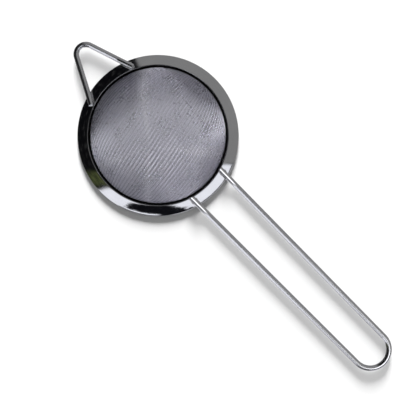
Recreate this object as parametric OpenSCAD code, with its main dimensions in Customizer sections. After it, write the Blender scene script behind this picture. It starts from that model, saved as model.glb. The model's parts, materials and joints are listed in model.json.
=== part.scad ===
// Wire-handled tea strainer, lying on its rim with the mesh dome up.
// Origin: centre of the rim's resting face. +X runs along the handle, +Z is up.
// Millimetres.

/* [Rim] */
// Outside diameter of the flange
rim_d = 80.5; // [79.5:0.5:82]
// Diameter of the mouth, where the flange turns down into its neck
mouth_d = 69.2; // [68.8:0.1:69.8]
// Height of the turned-down lip at the outer edge
lip_h = 2.0; // [1.4:0.1:3]
// Slope of the flange, in degrees
flange_slope = 15; // [10:1:20]
// Height of the neck's lower edge above the resting face
neck_base = 0.8; // [0.7:0.1:1]
// Thickness of the rim's sheet
sheet_t = 0.5; // [0.4:0.05:0.6]

/* [Mesh] */
// Height of the dome above the resting face
dome_top = 26.8; // [22:0.2:32]
// Thickness of the woven cloth, two wires deep
cloth_t = 0.7; // [0.5:0.05:0.8]
// Diameter of the cloth's skirt, over its outer face
skirt_d = 67.8; // [67.4:0.1:68]
// Radius of the dome's shoulder, where the cloth turns down into the neck
shoulder_r = 8; // [6:0.5:10]

/* [Wires] */
// Diameter of the handle and hook wire
wire_d = 2.8; // [2.4:0.1:3.2]

/* [Handle] */
// Distance from the rim's centre to the centre of the end loop
loop_x = 150.3; // [120:0.5:180]
// Radius of the end loop, at the wire's centre
loop_r = 9.35; // [8:0.05:11]
// Distance of each tail from the handle's middle line
tail_y = 10.0; // [9:0.1:12]
// Distance from the rim's edge to the level part of each leg
handle_run_out = 7; // [5:0.5:9]
// Radius of the bend where each tail leaves the flange, at the wire's centre
handle_bend_r = 16; // [8:1:18]

/* [Hook] */
// Distance from the rim's centre to the centre of the hook's tip bend
hook_x = 54.0; // [50:0.5:60]
// Radius of the tip bend, at the wire's centre
hook_r = 4.85; // [4:0.05:6]
// Half the angle between the hook's legs
hook_half_angle = 22.95; // [20:0.5:25]
// How far the hook sits round the rim from the handle's line, in degrees
hook_skew = 3.2; // [0:0.2:6]
// How far the hook leans over about its tip, in degrees
hook_lean = 1.4; // [0:0.2:3]
// Distance from the rim's centre to the cut ends of the hook's legs
hook_end_r = 36.2; // [36:0.1:37]
// Radius of the bend where each tail leaves the flange, at the wire's centre
hook_bend_r = 8; // [6:0.5:12]

/* [Hidden] */

polished_steel = [0.62, 0.62, 0.63];
bright_wire = [0.72, 0.72, 0.74];
cloth_grey = [0.52, 0.51, 0.56];
weld_grey = [0.55, 0.54, 0.53];

// Facets of a full circle: small sections, and the large round forms
fine = 48;
smooth = 180;

rim_r = rim_d / 2;
mouth_r = mouth_d / 2;
wire_r = wire_d / 2;
// Weld metal's thickness between a wire and the flange
weld_gap = 0.15;
// Each straight runs this far into its bends, and is this much slimmer, so that they join cleanly
lap = 0.2;
lap_step = 0.01;

// Rim: the arc between lip and slope ends at slope_end, on the upper face
corner_r = 0.6;
slope_normal = [sin(flange_slope), cos(flange_slope)];
corner_centre = [rim_r - corner_r, lip_h - corner_r];
slope_end = corner_centre + corner_r * slope_normal;
// Mouth: the sheet bends from the slope down into the neck
mouth_bend = 0.6;
bend_r = mouth_r + mouth_bend;
bend_centre = [bend_r, flange_z(bend_r) - mouth_bend / cos(flange_slope)];
// Neck: squeezed in on to the cloth from crimp_z down
neck_r = skirt_d / 2;
crimp_z = neck_base + 1;
// Tails lie along the slope up to here, and their ends clear the mouth's bend
seat_in_r = 36;
tail_end_r = bend_r + 0.05;

// Cloth, on its outer face: a skirt inside the neck, a round shoulder, then a spherical cap
band_bend = 0.4;
skirt_base = neck_base + band_bend;
skirt_top = crimp_z + 0.4;
shoulder_x = neck_r - shoulder_r;
shoulder_centre = [shoulder_x, skirt_top];
cap_h = dome_top - skirt_top;
cap_r = (pow(shoulder_x, 2) + pow(cap_h, 2) - pow(shoulder_r, 2)) / (2 * (cap_h - shoulder_r));
// Angle from upright at which the cap meets the shoulder
join_angle = asin(shoulder_x / (cap_r - shoulder_r));
cap_centre = [0, dome_top - cap_r];
cap_steps = 36;

// Band: a wall inside the cloth, and a foot under the cloth's cut edge
band_t = 0.5;
band_r = neck_r - cloth_t;
band_centre = [band_r + band_bend, skirt_base];
band_foot_r = neck_r + sheet_t;

// Handle: each leg leaves the loop at handle_start, and spreads by leg_spread on its way to the rim
leg_spread = atan((tail_y - loop_r) / (loop_x - rim_r));
handle_heading = 180 - leg_spread;
handle_start = along([loop_x, 0], handle_heading - 90, loop_r);
handle_z = level_z(handle_start, handle_heading, handle_run_out, handle_bend_r);

// Hook: the tip's centre, the heading of its middle line towards the rim, and those of its two legs
hook_tip = hook_x * [-cos(hook_skew), sin(hook_skew)];
hook_heading = -(hook_skew + hook_lean);
hook_run_out = 4;
left_heading = hook_heading + hook_half_angle;
right_heading = hook_heading - hook_half_angle;
left_start = along(hook_tip, left_heading + 90, hook_r);
right_start = along(hook_tip, right_heading - 90, hook_r);
hook_z = max(level_z(left_start, left_heading, hook_run_out, hook_bend_r),
             level_z(right_start, right_heading, hook_run_out, hook_bend_r));

// Welds: a low cone of metal round the middle of each tail's seat
weld_r = 1.9;
weld_h = 0.7;
weld_sunk = 0.25;
handle_weld_at = 37.4;
hook_weld_at = 37.8;

// Height of the flange's upper face at the radius r
function flange_z(r) = slope_end.y + (slope_end.x - r) * tan(flange_slope);

// The point a distance s from p along the heading a, seen from above
function along(p, a, s) = p + s * [cos(a), sin(a)];

// How far a line from p along the heading a runs before it enters the circle of radius r
function run_to(p, a, r) =
    let (b = p * [cos(a), sin(a)])
    -b - sqrt(b * b - p * p + r * r);

// Where a wire from p along a starts its bend, this far outside the rim's edge
function bend_run(p, a, run_out) = run_to(p, a, rim_r) - run_out;

// How steeply the wire's tail climbs, so that it lies along the flange
function tail_tilt(p, a) =
    let (low = run_to(p, a, slope_end.x), high = run_to(p, a, seat_in_r))
    atan((flange_z(seat_in_r) - slope_end.y) / (high - low));

// Height of a wire's level part, worked back from its tail's seat on the flange
function level_z(p, a, run_out, bend) =
    let (
        tilt = tail_tilt(p, a),
        seat = slope_end.y + (wire_r + weld_gap) / cos(flange_slope),
        climb = run_to(p, a, slope_end.x) - bend_run(p, a, run_out) - bend * sin(tilt)
    )
    seat - climb * tan(tilt) - bend * (1 - cos(tilt));

// Points along an arc, with or without its first one
function arc(centre, r, from, to, steps = 10, first = 0) =
    [for (i = [first:steps]) along(centre, from + (to - from) * i / steps, r)];

// One leg of wire: level, then bent up to lie along the flange's slope
module wire_leg(start, heading, run_out, bend, z, tail_to_r) {
    tilt = tail_tilt(start, heading);
    level = bend_run(start, heading, run_out);
    bend_end = [level + bend * sin(tilt), 0, bend * (1 - cos(tilt))];
    tail = (run_to(start, heading, tail_to_r) - bend_end.x) / cos(tilt);
    translate([start.x, start.y, z]) rotate([0, 0, heading]) {
        translate([-lap, 0, 0]) rotate([0, 90, 0])
            cylinder(r = wire_r - lap_step, h = level + 2 * lap, $fn = fine);
        translate([level, 0, bend]) rotate([90, 0, 0]) rotate([0, 0, -90])
            rotate_extrude(angle = tilt, $fn = smooth) translate([bend, 0])
                circle(wire_r, $fn = fine);
        translate(bend_end) rotate([0, 90 - tilt, 0]) translate([0, 0, -lap])
            cylinder(r = wire_r - lap_step, h = tail + lap, $fn = fine);
    }
}

// A level bend of wire round centre, from one heading to another
module wire_arc(centre, r, from, to, z) {
    translate([centre.x, centre.y, z]) rotate([0, 0, from])
        rotate_extrude(angle = to - from, $fn = smooth) translate([r, 0])
            circle(wire_r, $fn = fine);
}

// Pressed from one sheet: lip, rounded corner, slope, and a neck turned down and squeezed on to the cloth
module rim_flange() {
    color(polished_steel) rotate_extrude($fn = smooth) polygon(concat(
        [[rim_r, 0]],
        arc(corner_centre, corner_r, 0, 90 - flange_slope),
        arc(bend_centre, mouth_bend, 90 - flange_slope, 180),
        [[neck_r, crimp_z], [neck_r, neck_base], [neck_r + sheet_t, neck_base], [neck_r + sheet_t, crimp_z]],
        arc(bend_centre, mouth_bend - sheet_t, 180, 90 - flange_slope),
        arc(corner_centre, corner_r - sheet_t, 90 - flange_slope, 0),
        [[rim_r - sheet_t, 0]]
    ));
}

module retaining_band() {
    color(polished_steel) rotate_extrude($fn = smooth) polygon(concat(
        [[band_r, skirt_top], [band_r - band_t, skirt_top]],
        arc(band_centre, band_bend + band_t, 180, 270),
        [[band_foot_r, neck_base - band_t], [band_foot_r, neck_base]],
        arc(band_centre, band_bend, 270, 180)
    ));
}

module mesh_bowl() {
    color(cloth_grey) rotate_extrude($fn = smooth) polygon(concat(
        [[neck_r, skirt_base]],
        arc(shoulder_centre, shoulder_r, 0, 90 - join_angle),
        arc(cap_centre, cap_r, 90 - join_angle, 90, cap_steps, 1),
        arc(cap_centre, cap_r - cloth_t, 90, 90 - join_angle, cap_steps),
        arc(shoulder_centre, shoulder_r - cloth_t, 90 - join_angle, 0, first = 1),
        [[neck_r - cloth_t, skirt_base]]
    ));
}

module handle_wire() {
    color(bright_wire) difference() {
        union() {
            wire_arc([loop_x, 0], loop_r, leg_spread - 90, 90 - leg_spread, handle_z);
            for (side = [0, 1]) mirror([0, side, 0])
                wire_leg(handle_start, handle_heading, handle_run_out, handle_bend_r, handle_z, mouth_r - 2);
        }
        // The tails' ends are cut to follow the mouth
        cylinder(r = tail_end_r, h = dome_top, $fn = smooth);
    }
}

module hook_wire() {
    color(bright_wire) {
        wire_arc(hook_tip, hook_r, left_heading + 90, right_heading + 270, hook_z);
        wire_leg(left_start, left_heading, hook_run_out, hook_bend_r, hook_z, hook_end_r);
        wire_leg(right_start, right_heading, hook_run_out, hook_bend_r, hook_z, hook_end_r);
    }
}

// Weld metal round a wire's seat on the flange, at the point p seen from above
module weld(p) {
    r = norm(p);
    color(weld_grey) translate([p.x, p.y, flange_z(r)]) rotate([0, flange_slope, atan2(p.y, p.x)])
        translate([0, 0, -weld_sunk]) cylinder(r1 = weld_r, r2 = wire_r, h = weld_h + weld_sunk, $fn = fine);
}

module handle_weld(side) {
    p = along(handle_start, handle_heading, run_to(handle_start, handle_heading, handle_weld_at));
    difference() {
        weld([p.x, side * p.y]);
        handle_wire();
        rim_flange();
    }
}

module hook_weld(start, heading) {
    difference() {
        weld(along(start, heading, run_to(start, heading, hook_weld_at)));
        hook_wire();
        rim_flange();
    }
}

module handle_weld_left() {
    handle_weld(1);
}

module handle_weld_right() {
    handle_weld(-1);
}

module hook_weld_left() {
    hook_weld(left_start, left_heading);
}

module hook_weld_right() {
    hook_weld(right_start, right_heading);
}

rim_flange();
retaining_band();
mesh_bowl();
handle_wire();
hook_wire();
handle_weld_left();
handle_weld_right();
hook_weld_left();
hook_weld_right();
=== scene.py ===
"""Looks of the wire-handled tea strainer: woven wire cloth and polished steel round the CAD frame."""

import json
import math

import bpy
import numpy as np
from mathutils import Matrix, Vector

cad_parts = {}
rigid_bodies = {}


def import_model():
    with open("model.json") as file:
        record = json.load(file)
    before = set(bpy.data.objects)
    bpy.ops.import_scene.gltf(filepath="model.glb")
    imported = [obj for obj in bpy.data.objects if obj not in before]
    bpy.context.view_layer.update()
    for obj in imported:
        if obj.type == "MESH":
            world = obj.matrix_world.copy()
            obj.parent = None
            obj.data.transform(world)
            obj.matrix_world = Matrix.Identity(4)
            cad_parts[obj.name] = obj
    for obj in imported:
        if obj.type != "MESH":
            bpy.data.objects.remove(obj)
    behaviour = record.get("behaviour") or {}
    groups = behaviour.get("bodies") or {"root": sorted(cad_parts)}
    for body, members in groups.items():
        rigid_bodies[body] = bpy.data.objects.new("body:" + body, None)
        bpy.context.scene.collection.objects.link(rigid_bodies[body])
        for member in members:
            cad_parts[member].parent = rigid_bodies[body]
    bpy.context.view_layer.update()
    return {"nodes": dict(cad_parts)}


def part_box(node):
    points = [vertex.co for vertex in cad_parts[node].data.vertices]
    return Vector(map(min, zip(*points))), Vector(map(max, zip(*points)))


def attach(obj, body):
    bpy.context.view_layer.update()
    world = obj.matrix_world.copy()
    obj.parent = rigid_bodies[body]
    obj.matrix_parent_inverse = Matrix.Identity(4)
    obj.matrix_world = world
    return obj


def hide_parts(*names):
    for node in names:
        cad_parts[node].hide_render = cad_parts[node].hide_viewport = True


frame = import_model()

MM = 0.001
TURN = 2 * math.pi
DEGREE = math.pi / 180
TINY = 1e-9


# ---------------------------------------------------------------- shapes

# Faces that meet at more than this many degrees look sharp
CREASE = 35


def unit(vectors):
    """Vectors scaled to length 1, along the last axis."""
    return vectors / np.linalg.norm(vectors, axis=-1, keepdims=True)


def add_mesh(name, points, faces, crease=CREASE):
    """A smooth-shaded mesh object, sharp where its faces meet at more than crease degrees."""
    mesh = bpy.data.meshes.new(name)
    mesh.from_pydata(np.asarray(points).tolist(), [], faces)
    mesh.shade_smooth()
    mesh.set_sharp_from_angle(angle=math.radians(crease))
    piece = bpy.data.objects.new(name, mesh)
    bpy.context.scene.collection.objects.link(piece)
    return piece


def arc(centre, radius, start, end, steps):
    """Points along an arc in the plane, angles in degrees."""
    angles = np.radians(np.linspace(start, end, steps + 1))
    return [(centre[0] + radius * math.cos(a), centre[1] + radius * math.sin(a)) for a in angles]


def lathe(name, outline, steps):
    """A closed outline of (radius, height) points turned round the Z axis."""
    outline = np.array(outline)
    angles = np.arange(steps) * TURN / steps
    points = np.stack(
        [
            np.outer(np.cos(angles), outline[:, 0]),
            np.outer(np.sin(angles), outline[:, 0]),
            np.outer(np.ones(steps), outline[:, 1]),
        ],
        axis=-1,
    ).reshape(-1, 3)
    count = len(outline)
    faces = []
    for i in range(steps):
        here, after = i * count, (i + 1) % steps * count
        for j in range(count):
            k = (j + 1) % count
            faces.append((here + j, after + j, after + k, here + k))
    return add_mesh(name, points, faces)


def sweep(path, up, radius, sides):
    """Rings of points round a path, with the faces that join them and close both ends."""
    tangent = unit(np.gradient(path, axis=0))
    side = unit(np.cross(tangent, up))
    over = np.cross(side, tangent)
    turn = np.arange(sides) * TURN / sides
    ring = np.cos(turn)[None, :, None] * side[:, None] + np.sin(turn)[None, :, None] * over[:, None]
    points = (path[:, None] + radius * ring).reshape(-1, 3)
    last = (len(path) - 1) * sides
    faces = [tuple(range(sides))[::-1], tuple(range(last, last + sides))]
    for i in range(len(path) - 1):
        for j in range(sides):
            k = (j + 1) % sides
            a, b = i * sides, (i + 1) * sides
            faces.append((a + j, a + k, b + k, b + j))
    return points, faces


# ---------------------------------------------------------------- rim

# As in the CAD: a lip, a rounded corner, a slope, and a neck turned down on to the cloth
LIP_H = 2.0 * MM
SHEET_T = 0.5 * MM
CORNER_R = 0.6 * MM
MOUTH_R = 34.6 * MM
MOUTH_BEND = 0.6 * MM
NECK_BASE = 0.8 * MM
CRIMP_Z = 1.8 * MM

# The slope at its outer and inner edge: it is crowned a little, as pressed sheet is
SLOPE_OUTER = 20 * DEGREE
SLOPE_INNER = 10 * DEGREE

# Steps round the rim, and along each arc of its section, above and below the sheet
RIM_STEPS = 360
CORNER_STEPS = 8
CROWN_STEPS = 12
BEND_STEPS = 14
BEND_STEPS_BELOW = 8
CORNER_STEPS_BELOW = 4


def rim_outline():
    """The rim's section, from the lip's foot over the slope to the neck, and back below the sheet."""
    rim_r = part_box("rim_flange")[1].x
    neck_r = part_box("mesh_bowl")[1].x
    corner = (rim_r - CORNER_R, LIP_H - CORNER_R)
    slope_start = corner[0] + CORNER_R * math.sin(SLOPE_OUTER)
    bend_r = MOUTH_R + MOUTH_BEND
    slope_end = bend_r + MOUTH_BEND * math.sin(SLOPE_INNER)
    crown_r = (slope_start - slope_end) / (math.sin(SLOPE_OUTER) - math.sin(SLOPE_INNER))
    crown = (
        slope_start - crown_r * math.sin(SLOPE_OUTER),
        corner[1] + (CORNER_R - crown_r) * math.cos(SLOPE_OUTER),
    )
    bend = (bend_r, crown[1] + (crown_r - MOUTH_BEND) * math.cos(SLOPE_INNER))
    outer, inner = 90 - math.degrees(SLOPE_OUTER), 90 - math.degrees(SLOPE_INNER)
    neck = [(neck_r, CRIMP_Z), (neck_r, NECK_BASE)]
    return (
        [(rim_r, 0)]
        + arc(corner, CORNER_R, 0, outer, CORNER_STEPS)
        + arc(crown, crown_r, outer, inner, CROWN_STEPS)[1:]
        + arc(bend, MOUTH_BEND, inner, 180, BEND_STEPS)[1:]
        + neck
        + [(x + SHEET_T, z) for x, z in reversed(neck)]
        + arc(bend, MOUTH_BEND - SHEET_T, 180, inner, BEND_STEPS_BELOW)
        + arc(crown, crown_r - SHEET_T, inner, outer, CROWN_STEPS)[1:]
        + arc(corner, CORNER_R - SHEET_T, outer, 0, CORNER_STEPS_BELOW)[1:]
        + [(rim_r - SHEET_T, 0)]
    )


# ---------------------------------------------------------------- cloth

# As in the CAD: the outer face's shoulder, the cloth's thickness, and the height of its upright skirt
SHOULDER_R = 8 * MM
CLOTH_T = 0.7 * MM
SKIRT_TOP = 2.2 * MM

# A net of lines this far apart starts from a pole, with one line at the heading. It is then halved
PITCH = 1.28 * MM
NET_POLE = Vector((2.7, -7.2)) * MM
NET_HEADING = 54.7 * DEGREE
NET_REACH = 46
CROSSING_ROUNDS = 8

# The wires: their radius, how far they wave to either side, their points for each wire crossed, the
# sides of their section, and where in the wave each family starts, so that neither cuts the other
CLOTH_WIRE_R = 0.14 * MM
WEAVE_WAVE = 0.2 * MM
WIRE_STEPS = 2
CLOTH_WIRE_SIDES = 6
CLOTH_CREASE = 80
TWILL_REPEAT = 4
TWILL_START = (-0.5, 2.5)
CLOTH_PIECES = ("mesh_warp", "mesh_weft")


class Dome:
    """The middle surface of the cloth: a skirt, a round shoulder and a spherical cap."""

    def __init__(self):
        low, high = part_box("mesh_bowl")
        self.base = low.z
        self.top = high.z
        self.shoulder_x = high.x - SHOULDER_R
        rise = high.z - SKIRT_TOP
        cap_r = (self.shoulder_x**2 + rise**2 - SHOULDER_R**2) / (2 * (rise - SHOULDER_R))
        self.cap_z = high.z - cap_r
        self.join = math.asin(self.shoulder_x / (cap_r - SHOULDER_R))
        self.cap_r = cap_r - CLOTH_T / 2
        self.shoulder_r = SHOULDER_R - CLOTH_T / 2

    def near(self, points):
        """The nearest points of the surface, and the surface's outward directions there."""
        points = np.asarray(points, float)
        height = points[..., 2]
        radius = np.maximum(np.hypot(points[..., 0], points[..., 1]), TINY)
        on_cap = np.arctan2(radius, height - self.cap_z) <= self.join
        on_skirt = height <= SKIRT_TOP
        centre_r = np.where(on_cap, 0, self.shoulder_x)
        centre_z = np.where(on_cap, self.cap_z, np.where(on_skirt, height, SKIRT_TOP))
        size = np.where(on_cap, self.cap_r, self.shoulder_r)
        out_r, out_z = radius - centre_r, height - centre_z
        length = np.hypot(out_r, out_z)
        out_r, out_z = out_r / length, out_z / length
        way = points[..., :2] / radius[..., None]
        spot = way * (centre_r + size * out_r)[..., None]
        near = np.concatenate([spot, (centre_z + size * out_z)[..., None]], axis=-1)
        normal = np.concatenate([way * out_r[..., None], out_z[..., None]], axis=-1)
        return near, normal


def straight_line(dome, start, heading):
    """Points a pitch apart along the straightest line over the dome from start."""
    points = [start]
    for _ in range(NET_REACH):
        normal = dome.near(points[-1])[1]
        heading = unit(heading - normal * (heading @ normal))
        after = dome.near(points[-1] + PITCH * heading)[0]
        heading = unit(after - points[-1])
        after = dome.near(points[-1] + PITCH * heading)[0]
        points.append(after)
    return points


def crossing(dome, a, b, guess):
    """The point of the dome that is a pitch from both a and b, near guess."""
    point, normal = dome.near(guess)
    for _ in range(CROSSING_ROUNDS):
        to_a, to_b = point - a, point - b
        far_a, far_b = np.linalg.norm(to_a), np.linalg.norm(to_b)
        slopes = np.array([to_a / far_a, to_b / far_b, normal])
        step = np.linalg.solve(slopes, [PITCH - far_a, PITCH - far_b, 0])
        step *= min(1, 0.5 * PITCH / max(np.linalg.norm(step), TINY))
        point, normal = dome.near(point + step)
    return point


def net_axes(dome):
    """The four lines that leave the net's pole, at right angles to each other."""
    start = dome.near([*NET_POLE, dome.top])[0]
    net = {}
    for quarter, (du, dv) in enumerate(((1, 0), (0, 1), (-1, 0), (0, -1))):
        angle = NET_HEADING + quarter * TURN / 4
        heading = np.array([math.cos(angle), math.sin(angle), 0])
        for k, point in enumerate(straight_line(dome, start, heading)):
            net[du * k, dv * k] = point
    return net


def pressed_net(dome):
    """Where the cloth's wires cross. Pressing shears a flat weave but doesn't stretch it."""
    net = net_axes(dome)
    lowest = dome.base - PITCH
    for su, sv in ((1, 1), (1, -1), (-1, 1), (-1, -1)):
        for total in range(2, 2 * NET_REACH):
            for i in range(max(1, total - NET_REACH), min(total, NET_REACH + 1)):
                j = total - i
                a, b = net.get((su * (i - 1), sv * j)), net.get((su * i, sv * (j - 1)))
                corner = net.get((su * (i - 1), sv * (j - 1)))
                if a is None or b is None or corner is None or max(a[2], b[2]) < lowest:
                    continue
                net[su * i, sv * j] = crossing(dome, a, b, a + b - corner)
    return net


def halved(net):
    """The same net with a wire added midway between each two."""
    finer = {}
    for i, j in net:
        for di in (0, 1):
            for dj in (0, 1):
                corners = [net.get((i + a, j + b)) for a in range(di + 1) for b in range(dj + 1)]
                if all(corner is not None for corner in corners):
                    finer[2 * i + di, 2 * j + dj] = np.mean(corners, axis=0)
    return finer


def woven_wire(dome, crossings, phase):
    """One wire's path and upward directions: in twill, it goes over two wires and under two."""
    count = (len(crossings) - 1) * WIRE_STEPS + 1
    t = np.arange(count) / WIRE_STEPS
    known = np.arange(len(crossings))
    path = np.stack([np.interp(t, known, np.array(crossings)[:, k]) for k in range(3)], axis=1)
    path, normal = dome.near(path)
    wave = WEAVE_WAVE * np.cos(TURN / TWILL_REPEAT * (t + phase))
    kept = path[:, 2] > dome.base + CLOTH_WIRE_R
    return (path + wave[:, None] * normal)[kept], normal[kept]


def cloth_family(name, dome, net, axis):
    """All the wires that run one way, as one piece. axis is the index that runs along them."""
    points, faces, count = [], [], 0
    rows = {}
    for key in sorted(net):
        rows.setdefault(key[1 - axis], []).append(key)
    for row, keys in rows.items():
        keys.sort(key=lambda key: key[axis])
        phase = keys[0][axis] - row + TWILL_START[axis]
        path, normal = woven_wire(dome, [net[key] for key in keys], phase)
        if len(path) < 2 * WIRE_STEPS:
            continue
        ring_points, ring_faces = sweep(path, normal, CLOTH_WIRE_R, CLOTH_WIRE_SIDES)
        points.append(ring_points)
        faces += [tuple(count + k for k in face) for face in ring_faces]
        count += len(ring_points)
    return add_mesh(name, np.concatenate(points), faces, crease=CLOTH_CREASE)


# ---------------------------------------------------------------- nodes

# A Mix node's sockets for its two colours and its result
MIX_A, MIX_B, MIX_RESULT = 6, 7, 2

# Straight up, a direction has no azimuth. Its level part counts as this long there
LEAST_LEVEL = 1e-4


def rgb(red, green, blue):
    return (red, green, blue, 1.0)


class Nodes:
    """Short ways to add nodes to one tree and join them."""

    def __init__(self, tree):
        self.tree = tree
        tree.nodes.clear()

    def add(self, kind, inputs=(), **settings):
        node = self.tree.nodes.new("ShaderNode" + kind)
        for key, value in settings.items():
            setattr(node, key, value)
        for key, value in dict(inputs).items():
            self.put(node.inputs[key], value)
        return node

    def put(self, socket, value):
        if isinstance(value, bpy.types.NodeSocket):
            self.tree.links.new(value, socket)
        else:
            socket.default_value = value

    def math(self, operation, *values):
        node = self.add("Math", operation=operation)
        for socket, value in zip(node.inputs, values):
            self.put(socket, value)
        return node.outputs[0]

    def product(self, *values):
        result = values[0]
        for value in values[1:]:
            result = self.math("MULTIPLY", result, value)
        return result

    def join(self, x, y, z):
        return self.add("CombineXYZ", {"X": x, "Y": y, "Z": z}).outputs[0]

    def split(self, vector):
        return self.add("SeparateXYZ", {"Vector": vector}).outputs

    def place(self):
        """Where on the object a point is, in metres."""
        return self.add("TexCoord").outputs["Object"]

    def level(self, vector):
        """The length of a vector's level part."""
        x, y, _ = self.split(vector)
        squares = self.math("ADD", self.math("POWER", x, 2.0), self.math("POWER", y, 2.0))
        return self.math("SQRT", squares)

    def noise(self, vector, scale, detail=3.0, roughness=0.5):
        inputs = {"Vector": vector, "Scale": scale, "Detail": detail, "Roughness": roughness}
        return self.add("TexNoise", inputs).outputs["Fac"]

    def between(self, value, low, high, to_low=0.0, to_high=1.0):
        """A smooth step: to_low where value is under low, to_high where it is over high."""
        inputs = {"Value": value, "From Min": low, "From Max": high}
        inputs.update({"To Min": to_low, "To Max": to_high})
        return self.add("MapRange", inputs, interpolation_type="SMOOTHSTEP").outputs[0]

    def blend(self, share, a, b):
        """Colour a where share is 0, b where it is 1."""
        node = self.add("Mix", data_type="RGBA")
        self.put(node.inputs["Factor"], share)
        self.put(node.inputs[MIX_A], a)
        self.put(node.inputs[MIX_B], b)
        return node.outputs[MIX_RESULT]

    def turn_from(self, direction, middle):
        """How far the direction's azimuth is from middle, in degrees."""
        x, y, _ = self.split(direction)
        east = self.math("MULTIPLY", x, math.cos(math.radians(middle)))
        north = self.math("MULTIPLY", y, math.sin(math.radians(middle)))
        level = self.math("MAXIMUM", self.level(direction), LEAST_LEVEL)
        cosine = self.math("DIVIDE", self.math("ADD", east, north), level)
        return self.math("MULTIPLY", self.math("ARCCOSINE", cosine), 1 / DEGREE)

    def sector(self, direction, middle, half, soft):
        """1 where the direction's azimuth is within half of middle, in degrees."""
        return self.between(self.turn_from(direction, middle), half - soft, half + soft, 1.0, 0.0)


# ---------------------------------------------------------------- materials

# Steel: a mottle of fine marks and broad clouds sets its colour and roughness
MARK_SHARE = 0.6
MARK_DETAIL = 6.0
MARK_ROUGHNESS = 0.65
CLOUD_SCALE = 90.0
CLOUD_DETAIL = 2.0
MOTTLE_LOW = 0.3
MOTTLE_HIGH = 0.7
MOTTLE_ROUGHEST = 0.75
MARK_DEPTH = 0.02 * MM

# Painted shade in the seam between rim and cloth: its colour, and where each of the two is shaded and
# then unshaded, in millimetres from the Z axis on the rim, and in millimetres above the floor on the
# cloth
SEAM_PAINTED_SHADE = rgb(0.06, 0.06, 0.06)
RIM_SEAM_SHADE = (34.9, 35.15)
CLOTH_SEAM_SHADE = (2.4, 4.2)

# Creases left in the cloth by pressing: their azimuths from the net's pole, and half their width
CREASE_AZIMUTHS = (142, 41, -49, -115)
CREASE_WIDTH = 9.0
# The colour of the highlight painted along the creases
CREASE_HIGHLIGHT = rgb(0.76, 0.75, 0.82)

PAPER_SCALE = 40.0
PAPER_ROUGHNESS = 0.9


def new_material(name):
    material = bpy.data.materials.new(name)
    material.use_nodes = True
    return material, Nodes(material.node_tree)


def around(nodes, turn_scale, across_scale):
    """Coordinates for marks that run round the Z axis, without a seam."""
    place = nodes.place()
    x, y, z = nodes.split(place)
    radius = nodes.level(place)
    return nodes.join(
        nodes.math("MULTIPLY", nodes.math("DIVIDE", x, radius), turn_scale),
        nodes.math("MULTIPLY", nodes.math("DIVIDE", y, radius), turn_scale),
        nodes.math("MULTIPLY", nodes.math("SUBTRACT", radius, z), across_scale),
    )


def along_x(nodes, long_scale, across_scale):
    """Coordinates for marks that run along the X axis."""
    x, y, z = nodes.split(nodes.place())
    return nodes.join(
        nodes.math("MULTIPLY", x, long_scale),
        nodes.math("MULTIPLY", y, across_scale),
        nodes.math("MULTIPLY", z, across_scale),
    )


def rim_seam_shade(nodes):
    """0 in the painted shade at the seam, 1 on the unshaded rim."""
    from_axis = nodes.math("DIVIDE", nodes.level(nodes.place()), MM)
    return nodes.between(from_axis, *RIM_SEAM_SHADE)


def cloth_seam_shade(nodes):
    """0 in the painted shade at the seam, 1 on the unshaded cloth."""
    above_floor = nodes.math("DIVIDE", nodes.split(nodes.place())[2], MM)
    return nodes.between(above_floor, *CLOTH_SEAM_SHADE)


def painted_crease_highlights(nodes):
    """1 on the creases that pressing leaves in the cloth, where a highlight is painted, fading out within
    a few degrees.
    """
    x, y, z = nodes.split(nodes.place())
    from_pole = nodes.join(
        nodes.math("SUBTRACT", x, NET_POLE.x),
        nodes.math("SUBTRACT", y, NET_POLE.y),
        z,
    )
    share = 0.0
    for azimuth in CREASE_AZIMUTHS:
        near = nodes.between(nodes.turn_from(from_pole, azimuth), 0.0, CREASE_WIDTH, 1.0, 0.0)
        share = nodes.math("MAXIMUM", share, near)
    return share


def steel(name, dark, light, gloss, bump, marks, creases=None, seam=None):
    """Bare steel. gloss is its least and most roughness, and bump the strength of its fine marks.

    marks gives the marks' coordinates, creases the share of painted highlight on the cloth's creases, and
    seam the share of metal outside the painted shade at the seam. Each of the three takes the nodes.
    """
    material, nodes = new_material(name)
    fine = nodes.noise(marks(nodes), 1.0, MARK_DETAIL, MARK_ROUGHNESS)
    cloud = nodes.noise(nodes.place(), CLOUD_SCALE, CLOUD_DETAIL)
    mottle = nodes.math(
        "ADD",
        nodes.math("MULTIPLY", fine, MARK_SHARE),
        nodes.math("MULTIPLY", cloud, 1 - MARK_SHARE),
    )
    colour = nodes.blend(nodes.between(mottle, MOTTLE_LOW, MOTTLE_HIGH), dark, light)
    if creases:
        # Painted highlight along the cloth's pressed creases
        colour = nodes.blend(creases(nodes), colour, CREASE_HIGHLIGHT)
    if seam:
        # Painted shade: the colour goes dark in the seam between rim and cloth
        colour = nodes.blend(seam(nodes), SEAM_PAINTED_SHADE, colour)
    rough = nodes.between(mottle, MOTTLE_LOW, MOTTLE_ROUGHEST, *gloss)
    relief = nodes.add("Bump", {"Height": fine, "Strength": bump, "Distance": MARK_DEPTH})
    shader = nodes.add(
        "BsdfPrincipled",
        {"Base Color": colour, "Roughness": rough, "Metallic": 1.0, "Normal": relief.outputs[0]},
    )
    nodes.add("OutputMaterial", {"Surface": shader.outputs[0]})
    return material


def rim_steel():
    """Polished, with hair-fine marks round the rim, and painted shade at its inner edge by the seam."""
    return steel(
        "rim_polished",
        dark=rgb(0.60, 0.60, 0.61),
        light=rgb(0.68, 0.68, 0.69),
        gloss=(0.03, 0.07),
        bump=0.15,
        marks=lambda nodes: around(nodes, turn_scale=3.0, across_scale=9000.0),
        seam=rim_seam_shade,
    )


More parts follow.
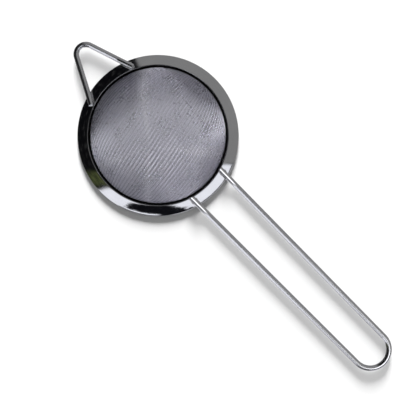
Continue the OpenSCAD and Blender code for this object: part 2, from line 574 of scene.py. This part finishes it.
def band_steel():
    """Satin, as the hidden hoop isn't polished."""
    return steel(
        "band_satin",
        dark=rgb(0.48, 0.48, 0.49),
        light=rgb(0.58, 0.58, 0.59),
        gloss=(0.25, 0.4),
        bump=0.4,
        marks=lambda nodes: around(nodes, turn_scale=3.0, across_scale=6000.0),
    )


def wire_steel():
    """Bright drawn wire, with marks along it."""
    return steel(
        "wire_bright",
        dark=rgb(0.66, 0.66, 0.68),
        light=rgb(0.76, 0.76, 0.78),
        gloss=(0.16, 0.28),
        bump=0.3,
        marks=lambda nodes: along_x(nodes, long_scale=60.0, across_scale=5000.0),
    )


def cloth_steel(name, dark, light):
    """Fine drawn wire, with a painted highlight on the pressed creases and painted shade at the rim."""
    return steel(
        name,
        dark=dark,
        light=light,
        gloss=(0.24, 0.38),
        bump=0.3,
        marks=lambda nodes: along_x(nodes, long_scale=900.0, across_scale=900.0),
        creases=painted_crease_highlights,
        seam=cloth_seam_shade,
    )


def weld_steel():
    """Dull, brownish weld metal."""
    return steel(
        "weld_metal",
        dark=rgb(0.36, 0.33, 0.30),
        light=rgb(0.60, 0.58, 0.55),
        gloss=(0.25, 0.5),
        bump=0.8,
        marks=lambda nodes: along_x(nodes, long_scale=1500.0, across_scale=1500.0),
    )


def paper(name, dark, light):
    """A matt sheet with a faint cloudiness."""
    material, nodes = new_material(name)
    colour = nodes.blend(nodes.noise(nodes.place(), PAPER_SCALE), dark, light)
    shader = nodes.add("BsdfPrincipled", {"Base Color": colour, "Roughness": PAPER_ROUGHNESS})
    nodes.add("OutputMaterial", {"Surface": shader.outputs[0]})
    return material


# ---------------------------------------------------------------- room

# What the steel reflects, by azimuth and elevation in degrees. A sector is its middle, the half of its
# width, and how softly it ends
PANEL = (90.5, 62.5, 1.5)
WINDOW_SIDE = (-35, 62, 1.5)
OLIVE_PATCH = (-107, 6, 2.5)
OLIVE_LEAVES = (0.4, 0.6)

# Dark leaves in front of the window: a low bank, and a tree that falls away from its peak
BANK = (5, 24, 3.0)
BANK_TOP = 48.0
TREE = (-47, 30, 3.0)
TREE_PEAK_AZIMUTH = -53
TREE_PEAK = 80.0
TREE_EDGE = 50.0
TREE_SPREAD = 38.0
LEAF_SCALE = 14.0
LEAF_DETAIL = 6.0
LEAF_ROUGHNESS = 0.7
RAGGED = 24.0

# An opening in the tree: it starts at one elevation and has leaves again from the other
OPENING = (-65, 18, 3.0)
OPENING_FOOT = (38.0, 41.0)
OPENING_TOP = (50.0, 52.0)

UNDER_TREE = (-57, 20, 3.0)
HORIZON = (-6.0, 6.0)
WINDOW_FADE = (66.0, 82.0)
SPECK_SCALE = 30.0
SPECK_DETAIL = 4.0
SPECKS = (0.58, 0.7)

# The dark ceiling starts at one elevation, and higher by HIGHER at both sides of the handle
CEILING = 72.0
CEILING_HIGHER = 12.0
HIGHER_FROM = (62.0, 72.0)
HIGHER_TO = (108.0, 118.0)
CEILING_EDGE = 2.0

GREY_PANEL = rgb(0.29, 0.29, 0.29)
WINDOW = rgb(1.16, 1.18, 1.26)
WINDOW_TOP = rgb(0.48, 0.48, 0.50)
DARK_WALL = rgb(0.004, 0.004, 0.005)
WALL_SPECK = rgb(0.07, 0.07, 0.07)
GROUND_SHADE = rgb(0.24, 0.24, 0.25)
FOLIAGE = rgb(0.006, 0.006, 0.008)
OLIVE = rgb(0.11, 0.13, 0.05)
GROUND_DARK = rgb(0.10, 0.10, 0.10)
GROUND_LIGHT = rgb(0.80, 0.80, 0.84)
OVERHEAD = rgb(0.05, 0.05, 0.05)
BACKDROP = rgb(1.0, 1.0, 1.0)


class Room:
    """The nodes of the room that the steel reflects, and a direction's elevation and leafiness."""

    def __init__(self, nodes):
        self.nodes = nodes
        self.direction = nodes.add("TexCoord").outputs["Generated"]
        height = nodes.split(self.direction)[2]
        self.elevation = nodes.math("MULTIPLY", nodes.math("ARCSINE", height), 1 / DEGREE)
        self.leaves = nodes.noise(self.direction, LEAF_SCALE, LEAF_DETAIL, LEAF_ROUGHNESS)
        self.ragged = nodes.math("MULTIPLY", nodes.math("SUBTRACT", self.leaves, 0.5), RAGGED)
        self.ground = nodes.between(self.elevation, *HORIZON, 1.0, 0.0)

    def sector(self, sector):
        return self.nodes.sector(self.direction, *sector)

    def in_leaf(self):
        """1 where leaves hide the window."""
        nodes = self.nodes
        bank = nodes.product(self.sector(BANK), BANK_TOP)
        from_peak = nodes.turn_from(self.direction, TREE_PEAK_AZIMUTH)
        hump = nodes.between(from_peak, 0.0, TREE_SPREAD, TREE_PEAK, TREE_EDGE)
        tree = nodes.product(hump, self.sector(TREE))
        skyline = nodes.math("ADD", nodes.math("MAXIMUM", bank, tree), self.ragged)
        above = nodes.math("SUBTRACT", self.elevation, skyline)
        return nodes.product(nodes.between(above, -1.0, 1.0, 1.0, 0.0), self.not_opening())

    def not_opening(self):
        """0 in the opening through the tree."""
        nodes = self.nodes
        top = nodes.between(nodes.math("ADD", self.elevation, self.ragged), *OPENING_TOP, 1.0, 0.0)
        foot = nodes.between(self.elevation, *OPENING_FOOT)
        return nodes.math("SUBTRACT", 1.0, nodes.product(top, foot, self.sector(OPENING)))

    def bright_side(self):
        """The window over the leaves, and the pale ground below it."""
        nodes = self.nodes
        sky = nodes.blend(nodes.between(self.elevation, *WINDOW_FADE), WINDOW, WINDOW_TOP)
        ground = nodes.blend(self.sector(UNDER_TREE), GROUND_LIGHT, GROUND_SHADE)
        return nodes.blend(self.ground, nodes.blend(self.in_leaf(), sky, FOLIAGE), ground)

    def dark_side(self):
        """The dark wall with its faint specks, and the dark ground below it."""
        nodes = self.nodes
        noise = nodes.noise(self.direction, SPECK_SCALE, SPECK_DETAIL)
        wall = nodes.blend(nodes.between(noise, *SPECKS), DARK_WALL, WALL_SPECK)
        return nodes.blend(self.ground, wall, GROUND_DARK)

    def overhead(self):
        """1 in the dark ceiling."""
        nodes = self.nodes
        from_handle = nodes.turn_from(self.direction, 0)
        beside = nodes.product(
            nodes.between(from_handle, *HIGHER_FROM),
            nodes.between(from_handle, *HIGHER_TO, 1.0, 0.0),
        )
        dark_from = nodes.math("ADD", nodes.product(beside, CEILING_HIGHER), CEILING)
        return nodes.between(nodes.math("SUBTRACT", self.elevation, dark_from), 0.0, CEILING_EDGE)

    def colour(self):
        """The whole room: each part in front of the ones before it."""
        nodes = self.nodes
        olive = nodes.product(self.sector(OLIVE_PATCH), nodes.between(self.leaves, *OLIVE_LEAVES))
        colour = nodes.blend(self.sector(WINDOW_SIDE), self.dark_side(), self.bright_side())
        colour = nodes.blend(olive, colour, OLIVE)
        colour = nodes.blend(self.sector(PANEL), colour, GREY_PANEL)
        return nodes.blend(self.overhead(), colour, OVERHEAD)


def build_world():
    """The room, for reflections only. The camera sees a plain backdrop, and matt surfaces see nothing."""
    world = bpy.data.worlds.new("studio")
    bpy.context.scene.world = world
    world.use_nodes = True
    nodes = Nodes(world.node_tree)
    shown = nodes.add("LightPath").outputs["Is Camera Ray"]
    colour = nodes.blend(shown, Room(nodes).colour(), BACKDROP)
    background = nodes.add("Background", {"Color": colour, "Strength": 1.0})
    nodes.add("OutputWorld", {"Surface": background.outputs[0]})
    world.cycles_visibility.diffuse = False


# ---------------------------------------------------------------- studio

CAMERA_AIM = Vector((37.6, -7.8, 2.0)) * MM
CAMERA_ROLL = 45.24 * DEGREE
VIEW_WIDTH = 199.5 * MM
LENS = 100.0
SENSOR = 36.0

# Lights: azimuth, elevation and softness in degrees, and strength
KEY = (135.2, 19, 22, 7.0)
KEY_PAST_WIRES = (135.2, 19, 22, 3.8)
FILL = (0, 90, 120, 0.78)
CLOTH_LIGHT = (48, 68, 32, 2.1)
TAIL_LIGHT = (0, 61, 44, 0.5)

FLOOR_HALF = 3.0
PATCH_Z = 0.02 * MM
PATCH_HOLE_R = 0.1 * MM


def add_sun(name, azimuth, elevation, softness, strength):
    """A soft light from far off. Steel doesn't mirror it."""
    light = bpy.data.lights.new(name, "SUN")
    light.energy = strength
    light.angle = math.radians(softness)
    holder = bpy.data.objects.new(name, light)
    a, e = math.radians(azimuth), math.radians(elevation)
    toward = Vector((math.cos(a) * math.cos(e), math.sin(a) * math.cos(e), math.sin(e)))
    holder.rotation_euler = toward.to_track_quat("Z", "Y").to_euler()
    holder.visible_glossy = False
    bpy.context.scene.collection.objects.link(holder)
    return holder


def pick(name, wanted):
    """A collection of the mesh objects whose names are wanted, for a light to reach or be shaded by."""
    chosen = bpy.data.collections.new(name)
    for piece in bpy.data.objects:
        if piece.type == "MESH" and wanted(piece.name):
            chosen.objects.link(piece)
    return chosen


def add_key():
    """A low light in two parts. The cloth shades neither, and thin wires shade only the first."""
    key = add_sun("key", *KEY)
    key.light_linking.blocker_collection = pick("shades_key", lambda name: name not in CLOTH_PIECES)
    rest = add_sun("key_past_wires", *KEY_PAST_WIRES)
    rest.light_linking.blocker_collection = pick("shades_rest", lambda name: name == "rim_pressing")


def add_mirrored_light(name, light, pieces):
    """A light that reaches only some pieces, and that they mirror."""
    holder = add_sun(name, *light)
    holder.visible_glossy = True
    holder.light_linking.receiver_collection = pick(name + "_on", lambda piece: piece in pieces)


def add_floor():
    """A white sheet that the steel doesn't mirror, and a grey patch of it under the rim: painted shade
    for the floor in the bowl.
    """
    h = FLOOR_HALF
    floor = add_mesh("floor", [(-h, -h, 0), (h, -h, 0), (h, h, 0), (-h, h, 0)], [(0, 1, 2, 3)])
    floor.data.materials.append(paper("floor_white", rgb(0.80, 0.80, 0.80), rgb(0.82, 0.82, 0.82)))
    floor.visible_glossy = False
    # The patch is grey paper, painted shade for the floor that the bowl covers
    patch_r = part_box("rim_flange")[1].x - SHEET_T
    outline = [(patch_r, 0), (patch_r, PATCH_Z), (PATCH_HOLE_R, PATCH_Z), (PATCH_HOLE_R, 0)]
    patch = lathe("floor_patch", outline, RIM_STEPS)
    patch.data.materials.append(paper("floor_dim", rgb(0.19, 0.19, 0.20), rgb(0.21, 0.21, 0.22)))


def add_camera():
    """Straight down, from far enough away to look nearly parallel."""
    data = bpy.data.cameras.new("camera")
    data.lens = LENS
    data.sensor_width = SENSOR
    camera = bpy.data.objects.new("camera", data)
    camera.location = CAMERA_AIM + Vector((0, 0, VIEW_WIDTH * LENS / SENSOR))
    camera.rotation_euler = (0, 0, CAMERA_ROLL)
    bpy.context.scene.collection.objects.link(camera)
    bpy.context.scene.camera = camera


# ---------------------------------------------------------------- assembly


def dress(node, material):
    """A CAD node that stays, in its finished material."""
    mesh = frame["nodes"][node].data
    mesh.materials.clear()
    mesh.materials.append(material)


def stand_for(piece, node, material):
    """A finished piece in place of a CAD node."""
    piece.data.materials.append(material)
    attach(piece, "root")
    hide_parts(node)


def build_cloth():
    """Warp and weft: the warp painted in shade and the weft in light, so that the weave's lines show from
    afar.
    """
    dome = Dome()
    net = halved(pressed_net(dome))
    # One wire, painted dark as shade on the warp and pale as light on the weft
    warp_shaded_steel = cloth_steel("cloth_warp", rgb(0.42, 0.41, 0.48), rgb(0.54, 0.53, 0.61))
    weft_lit_steel = cloth_steel("cloth_weft", rgb(0.76, 0.75, 0.84), rgb(0.88, 0.87, 0.95))
    for axis, material in enumerate((warp_shaded_steel, weft_lit_steel)):
        family = cloth_family(CLOTH_PIECES[axis], dome, net, axis)
        stand_for(family, "mesh_bowl", material)


def build_object():
    stand_for(lathe("rim_pressing", rim_outline(), RIM_STEPS), "rim_flange", rim_steel())
    build_cloth()
    dress("retaining_band", band_steel())
    wire = wire_steel()
    dress("handle_wire", wire)
    dress("hook_wire", wire)
    weld = weld_steel()
    for node in sorted(frame["nodes"]):
        if "weld" in node:
            dress(node, weld)


bpy.context.scene.view_settings.view_transform = "Standard"
add_camera()
build_world()
add_sun("fill", *FILL)
add_floor()
build_object()
add_key()
add_mirrored_light("cloth_light", CLOTH_LIGHT, CLOTH_PIECES)
add_mirrored_light("tail_light", TAIL_LIGHT, ("handle_wire",))
